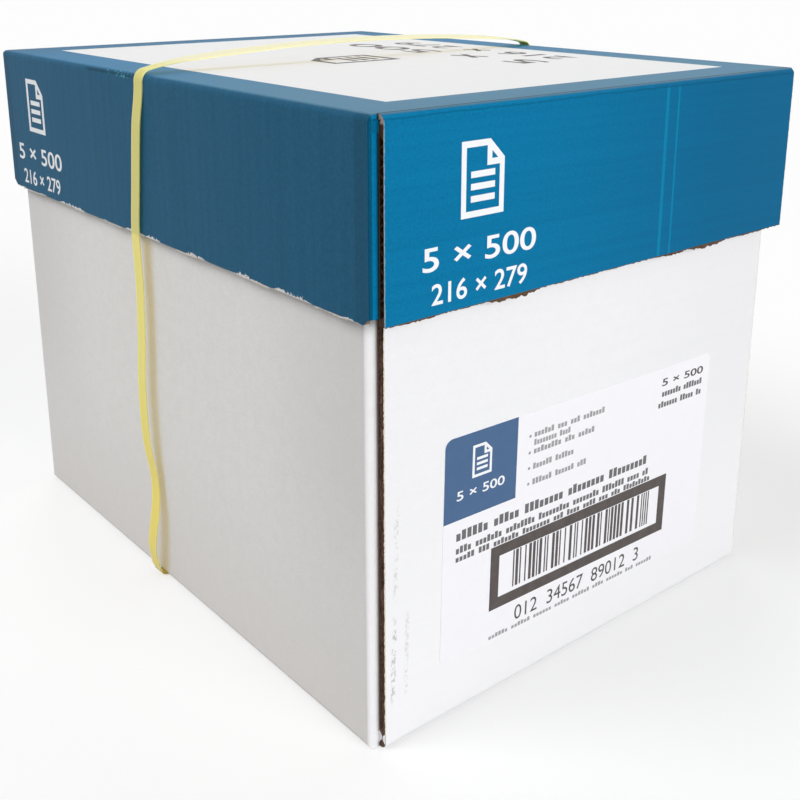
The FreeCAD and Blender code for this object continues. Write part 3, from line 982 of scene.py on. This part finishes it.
half_end = (lid_high.x - LID_SETBACK) / MM
mirrored = [(-x1, -x0, drop) for x0, x1, drop in END_SCRAPS]
FIBRE_INSET, SCRAP_INSET = 0.25 * MM, 2.0 * MM
for name, side, seed in (("near", -1, 50), ("far", 1, 51)):
    origin = (0, side * (lid_high.y - FIBRE_INSET), lid_low.z)
    fray_rim(f"rim_fray_{name}", [(-half_end, half_end)], origin, (side, 0, 0), 0.45, torn_kraft, seed)
for name, side, seed in (("left", -1, 52), ("right", 1, 53)):
    origin = (side * (lid_high.x - FIBRE_INSET), 0, lid_low.z)
    fray_rim(f"rim_fray_{name}", SIDE_PATCHES, origin, (0, -side, 0), 0.8, torn_paper, seed)
for name, side, scraps, seed in (("near", -1, mirrored, 60), ("far", 1, END_SCRAPS, 70)):
    origin = (0, side * (lid_high.y - SCRAP_INSET), lid_low.z)
    hang_scraps(f"rim_scraps_{name}", scraps, origin, (side, 0, 0), seed)

# %% [markdown]
# Where a long fold ends, the outer liner wraps the end of the crease. A small rounded patch closes the
# crease there, at the tray's lower corners and at the lid's upper ones, so no open slit shows beside the
# tab.

# %% Liner over the ends of the folds


def cover_folds(name, high, board, inset, plate, height, material):
    for number, (side, end) in enumerate(CORNERS):
        origin = (side * (high.x - inset * MM), end * (high.y - board), height)
        right, up = (side, 0, 0), (0, 0, -side * end)
        lay_on(f"{name}_{number + 1}", [rounded_plate(*plate, 0.8)], 0.1, origin, right, up, material)


cover_folds("corner_liner", tray_high, TRAY_BOARD, 5.2, (-1.3, 3.6, -2.5, 2.5), 4.4 * MM,
            white_liner)
cover_folds("lid_fold_liner", lid_high, LID_BOARD, 3.6, (-0.6, 2.5, -2.0, 2.0), lid_high.z - 4.0 * MM,
            blue_liner)

for number, (side, end) in enumerate(CORNERS):
    # Two tongues of liner that nearly meet over the cut side, just above the floor's fold.
    for name, seed, at, way in (("inner", 90, 3.5, 1), ("outer", 95, 0.15, -1)):
        origin = (side * (tray_high.x - TRAY_SETBACK + 0.05 * MM), end * (tray_high.y - at * MM), 4.6 * MM)
        right, up = (0, 0, -side * end * way), (0, end * way, 0)
        tongue = torn_bit(-2.0, 2.0, 1.65, seed + number, 0.5, 0.8)
        piece = f"fold_tongue_{name}_{number + 1}"
        lay_on(piece, [tongue], 0.1, origin, right, up, white_liner)

# %% [markdown]
# ## Strap
# A strap is one long flat strip, pulled round the carton and welded to itself. It is stiff: it bows up
# over the lid, turns sharply at the lid's edges and stands clear of the tray. A flat grid is the right
# start, because its UV map stays with the strip while the strip is wound on its course. Its thickness and
# rounded edges come from modifiers.

# %% Course of the strap
STRAP_WIDTH, STRAP_THICKNESS = 7.0, 0.6
FOOT_BULGE, FOOT_RADIUS, RIM_RADIUS = 5.2, 6.9, 60.0
WELD_X, WELD_LENGTH = -38.0, 28.0  # under the base, where the two ends of the strap lie on each other
EDGE_RADIUS, EDGE_TURN, SHOULDER_RADIUS, SHOULDER_TURN = 4.2, 78.0, 160.0, 7.5
tray_half, lid_half = tray_high.x / MM, lid_high.x / MM
top, lid_rim = lid_high.z / MM, lid_low.z / MM


def half_course():
    # Straight runs as (length,) and bends as (radius, turn), from the middle of the base to the middle of
    # the top.
    foot_x = tray_half + FOOT_BULGE - FOOT_RADIUS
    dx = lid_half + RIM_RADIUS - foot_x
    dz = lid_rim - STRAP_THICKNESS - FOOT_RADIUS
    span, radii = math.hypot(dx, dz), FOOT_RADIUS + RIM_RADIUS
    lean = math.pi / 2 - math.atan2(dz, -dx) + math.asin(radii / span)
    edge, crown = math.radians(EDGE_TURN), math.radians(90 - EDGE_TURN - SHOULDER_TURN)
    reached = EDGE_RADIUS * (1 - math.cos(edge)) + SHOULDER_RADIUS * (math.cos(edge) - math.sin(crown))
    crown_radius = (lid_half - reached) / math.sin(crown)
    return [
        (foot_x,), (FOOT_RADIUS, math.pi / 2 + lean),
        (math.sqrt(span ** 2 - radii ** 2),), (-RIM_RADIUS, -lean),
        (top - lid_rim - LID_RADIUS / MM,), (EDGE_RADIUS, edge),
        (SHOULDER_RADIUS, math.radians(SHOULDER_TURN)), (crown_radius, crown),
    ]


def half_points(spacing=2.0, bend=math.radians(6)):
    heading, point = math.pi, np.array([0.0, STRAP_THICKNESS])
    points = [point]
    for step in half_course():
        if len(step) == 1:
            count, turn, length = max(1, round(step[0] / spacing)), 0.0, step[0]
        else:
            turn, length = step[1], abs(step[0] * step[1])
            count = max(2, round(length / spacing), math.ceil(abs(turn) / bend))
        for _ in range(count):
            heading -= turn / count / 2
            point = point + length / count * np.array([math.cos(heading), math.sin(heading)])
            heading -= turn / count / 2
            points.append(point)
    return points


left_half = half_points()
right_half = [np.array([-p[0], p[1]]) for p in reversed(left_half)][1:]
course = np.array(left_half + right_half)
print("strap course:", len(course), "points, highest %.1f mm" % course[:, 1].max())

# %% Where the strap wanders
# Heights down each side with the strap's middle along Y there.
LEFT_WAY = ((0, 15.5), (4, 14.8), (11, 14.0), (20, 13.4), (28, 11.8), (34, 11.0), (45, 11.4), (55, 12.2),
            (65, 14.0), (85, 14.9), (100, 14.8), (118, 12.7), (140, 11.6), (168, 11.4), (186, 8.4),
            (208, 5.2), (226, 2.1), (236, 1.0))
RIGHT_WAY = ((0, 14.0), (40, 14.6), (90, 13.2), (168, 12.0), (236, 9.5))


def strap_sideways():
    values = []
    for x, z in course:
        if z < 2 and abs(x) < tray_half:
            values.append(np.interp(x, [-tray_half, tray_half], [LEFT_WAY[0][1], RIGHT_WAY[0][1]]))
        elif z > top - 1 and abs(x) < lid_half:
            values.append(np.interp(x, [-lid_half, lid_half], [LEFT_WAY[-1][1], RIGHT_WAY[-1][1]]))
        else:
            values.append(np.interp(z, *zip(*(LEFT_WAY if x < 0 else RIGHT_WAY))))
    ring = np.array(values[:-1])
    for _ in range(3):
        ring = (np.roll(ring, 1) + 2 * ring + np.roll(ring, -1)) / 4
    return np.append(ring, ring[0])


FOOT_DRAW, PRESS, PRESS_HEIGHT, STAND_OFF = 1.7, 2.3, 48.0, 1.0
TWIST = 9.0  # degrees


def smooth(value):
    value = min(max(value, 0.0), 1.0)
    return value * value * (3 - 2 * value)


def inward(x, z):
    # The strap's foot is drawn in, it is pressed in a little above that, and it stands off the lid's wall.
    foot = FOOT_DRAW * smooth((17 - z) / 12) * smooth(z / 4)
    pressed = PRESS * math.exp(-((z - PRESS_HEIGHT) / 17) ** 2) if abs(x) > tray_half else 0.0
    stands_off = STAND_OFF * smooth((z - lid_rim + 28) / 40) * smooth((top - 4 - z) / 18)
    return foot + pressed - stands_off


def bank(x, z):
    # Over the top the strap is twisted, so that its near edge lies lower.
    return math.radians(TWIST) * smooth((lid_half - abs(x) - 4) / 30) if z > top else 0.0


# %% Wind a flat strip on the course


def wind_strap(across=6):
    strip = new_grid(0, len(course) - 1, 0, across, len(course) - 1, across)
    strip.name = strip.data.name = "strap_band"
    sideways = strap_sideways()
    for vertex in strip.data.vertices:
        index = int(round(vertex.co.x / MM))
        offset = (vertex.co.y / MM / across - 0.5) * STRAP_WIDTH
        x, z = course[index]
        tilt = bank(x, z)
        x -= inward(x, z) * (1 if x > 0 else -1)
        vertex.co = Vector((x, sideways[index] + offset * math.cos(tilt), z + offset * math.sin(tilt))) * MM
    choose(strip, "VERT", lambda place: True)
    bpy.ops.mesh.remove_doubles(threshold=0.01 * MM)
    bpy.ops.mesh.normals_make_consistent(inside=False)
    bpy.ops.object.mode_set(mode="OBJECT")
    solid = strip.modifiers.new("thickness", "SOLIDIFY")
    solid.thickness, solid.offset, solid.use_even_offset = STRAP_THICKNESS * MM, 1.0, True
    bpy.ops.object.modifier_apply(modifier=solid.name)
    rounding = strip.modifiers.new("edges", "BEVEL")
    rounding.width, rounding.segments = 0.12 * MM, 2
    rounding.limit_method, rounding.angle_limit = "ANGLE", math.radians(60)
    bpy.ops.object.modifier_apply(modifier=rounding.name)
    bpy.ops.object.shade_smooth_by_angle(angle=math.radians(35))
    return strip


strap = wind_strap()

# %% [markdown]
# The plastic lets light through. A strap in front of white board glows, its shadow is yellow, and its
# underside is olive. The shadow comes from tinted transparency for light that goes on to other pieces.
# The glow is painted light in the colour: the strap is painted brighter over the tray and the top than
# over the lid, and paler along its edges, a painted highlight. The olive underside is painted shade.

# %% Material of the strap


def strap_plastic():
    material, tree, surface = new_material("strap_plastic", 0.38, 0.4)
    uv = node(tree, "ShaderNodeUVMap", {}).outputs["UV"]
    u, v, _ = split(tree, uv)
    x, _, z = split(tree, object_position(tree))
    streaks = noise(tree, stretched(tree, uv, (60.0, 14.0, 1.0)), 1.0, 3.0, 0.6)
    # Painted light: one plastic, painted darker over the blue lid and brighter over the white tray, where
    # light comes through it from behind; low on the tray it is a deeper yellow.
    over_lid = blend_colour(tree, streaks, (0.69, 0.63, 0.155), (0.75, 0.70, 0.21))
    over_tray = blend_colour(tree, streaks, (0.92, 0.80, 0.17), (0.98, 0.87, 0.25))
    over_tray = blend_colour(tree, rise(tree, z, 120 * MM, 50 * MM), over_tray, (0.93, 0.765, 0.135))
    body = blend_colour(tree, rise(tree, z, lid_low.z + 1 * MM, lid_low.z - 1 * MM), over_lid, over_tray)
    # Painted light: paler over the white top.
    over_top = rise(tree, z, top * MM, (top + 1.5) * MM)
    over_top = times(tree, over_top, rise(tree, absolute(tree, x), 112 * MM, 94 * MM))
    body = blend_colour(tree, over_top, body, (0.82, 0.78, 0.48))
    # Painted highlight: paler along the strap's edges.
    from_edge = calc(tree, "MINIMUM", v, minus(tree, 1.0, v))
    body = blend_colour(tree, times(tree, rise(tree, from_edge, 0.16, 0.02), 0.4), body, (0.95, 0.90, 0.45))
    # Painted shade: olive where the strap turns under the tray.
    body = blend_colour(tree, rise(tree, z, 5 * MM, 1.5 * MM), body, (0.60, 0.50, 0.16))
    tree.links.new(body, surface.inputs["Base Color"])
    rows, columns = times(tree, u, 470.0), times(tree, v, 4.0)
    one_way = calc(tree, "SINE", times(tree, plus(tree, rows, columns), math.pi))
    other_way = calc(tree, "SINE", times(tree, minus(tree, rows, columns), math.pi))
    give_bump(tree, surface, times(tree, one_way, other_way, 0.00002), 0.6)
    through = node(tree, "ShaderNodeBsdfTransparent", {"Color": (0.88, 0.80, 0.54, 1)})
    rays = node(tree, "ShaderNodeLightPath", {}).outputs
    passing = either(tree, rays["Is Shadow Ray"], rays["Is Diffuse Ray"])
    shaders = {0: passing, 1: surface.outputs["BSDF"], 2: through.outputs["BSDF"]}
    both = node(tree, "ShaderNodeMixShader", shaders)
    tree.links.new(both.outputs["Shader"], tree.nodes["Material Output"].inputs["Surface"])
    return material


plastic = strap_plastic()
strap.data.materials.clear()
strap.data.materials.append(plastic)
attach(strap, "root")
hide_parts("strap")
weld_y = float(np.interp(WELD_X, [-tray_half, tray_half], [LEFT_WAY[0][1], RIGHT_WAY[0][1]]))
weld_origin = (WELD_X * MM, weld_y * MM, STRAP_THICKNESS * MM)
weld = new_grid(-WELD_LENGTH / 2, WELD_LENGTH / 2, -3.4, 3.4, 14, 2)
lay_on("strap_weld", [weld], 0.5, weld_origin, (1, 0, 0), (0, 1, 0), plastic)
print("strap:", len(strap.data.polygons), "faces")

# %% [markdown]
# ## Floor, light and camera
# Soft suns stand for softboxes: one high on the left, one low in front of the labelled end, and a weak
# one behind. The floor is white to the camera but throws less light back, so the walls keep their
# shading.

# %% Floor
deselect()
bpy.ops.mesh.primitive_plane_add(size=40.0, location=(0, 0, 0))
floor = bpy.context.object
floor.name = floor.data.name = "floor"


def seen_directly(tree):
    seen = node(tree, "ShaderNodeLightPath", {}).outputs
    return either(tree, seen["Is Camera Ray"], seen["Is Glossy Ray"], seen["Is Transmission Ray"])


def floor_material():
    material, tree, surface = new_material("studio_floor", 0.9, 0.0)
    direct = seen_directly(tree)
    grey = blend_colour(tree, direct, (0.50, 0.50, 0.50), (0.45, 0.45, 0.45))
    tree.links.new(grey, surface.inputs["Base Color"])
    surface.inputs["Emission Color"].default_value = (1, 1, 1, 1)
    tree.links.new(times(tree, direct, 0.53), surface.inputs["Emission Strength"])
    return material


floor.data.materials.append(floor_material())
print("floor of", floor.dimensions.x, "m")

# %% World and suns


def set_world(strength):
    world = bpy.data.worlds.new("studio")
    bpy.context.scene.world = world
    world.use_nodes = True
    tree = world.node_tree
    sockets = {0: seen_directly(tree), 2: strength, 3: 1.0}
    shown = node(tree, "ShaderNodeMix", sockets, data_type="FLOAT").outputs[0]
    tree.nodes["Background"].inputs["Color"].default_value = (1, 1, 1, 1)
    tree.links.new(shown, tree.nodes["Background"].inputs["Strength"])


def add_sun(name, toward, irradiance, spread):
    # irradiance is how bright a white surface that faces the sun becomes, with 1 as full white.
    light = bpy.data.lights.new(name, "SUN")
    light.energy = irradiance * math.pi
    light.angle = math.radians(spread)
    sun = bpy.data.objects.new(name, light)
    # Shiny surfaces mirror the white room, not the lamp.
    sun.visible_glossy = False
    sun.rotation_euler = Vector(toward).to_track_quat("Z", "Y").to_euler()
    bpy.context.scene.collection.objects.link(sun)
    print(name, "gives", irradiance)


set_world(0.30)
add_sun("softbox_left", (-0.60, 0.26, 0.75), 0.55, 34)
add_sun("softbox_front", (0.15, -0.97, 0.20), 0.82, 40)
add_sun("softbox_behind", (0.55, 0.75, 0.35), 0.35, 40)

# %% Camera
PIXELS, SENSOR = 800, 36.0
FOCAL_PIXELS, PITCH, YAW = 1109.0, -16.0, 39.4
camera_data = bpy.data.cameras.new("camera")
camera_data.sensor_width = SENSOR
camera_data.lens = FOCAL_PIXELS / PIXELS * SENSOR
camera_data.shift_y = -0.16
camera = bpy.data.objects.new("camera", camera_data)
camera.location = (-324.2 * MM, -419.9 * MM, 284.0 * MM)
camera.rotation_euler = (math.radians(90 + PITCH), 0, math.radians(-YAW))
bpy.context.scene.collection.objects.link(camera)
bpy.context.scene.camera = camera
bpy.context.scene.view_settings.view_transform = "Standard"
print("lens of %.1f mm" % camera_data.lens)
